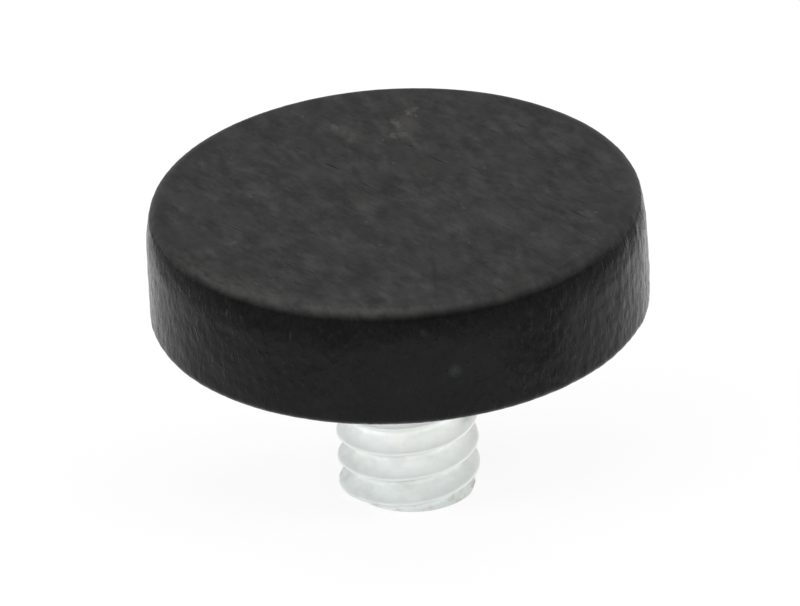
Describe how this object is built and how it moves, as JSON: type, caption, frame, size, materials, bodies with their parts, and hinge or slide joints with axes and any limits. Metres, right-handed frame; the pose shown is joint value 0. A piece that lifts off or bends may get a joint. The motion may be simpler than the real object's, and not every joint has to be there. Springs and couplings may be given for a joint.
{
  "type": "rubber foot",
  "caption": "Round black rubber foot with a short zinc-plated threaded stud moulded into its seat face, for screwing under a case or a bench tool.",
  "frame": {"origin": "centre of the seat face, where the stud leaves the rubber", "axes": "+Z along the foot's axis to the tread face, with the stud along -Z"},
  "size_m": [0.0222, 0.0222, 0.0146],
  "materials": {
    "rubber": "matte",
    "zinc_steel": "satin"
  },
  "bodies": {
    "root": {"rubber_pad": "rubber", "threaded_stud": "zinc_steel"}
  },
  "joints": []
}
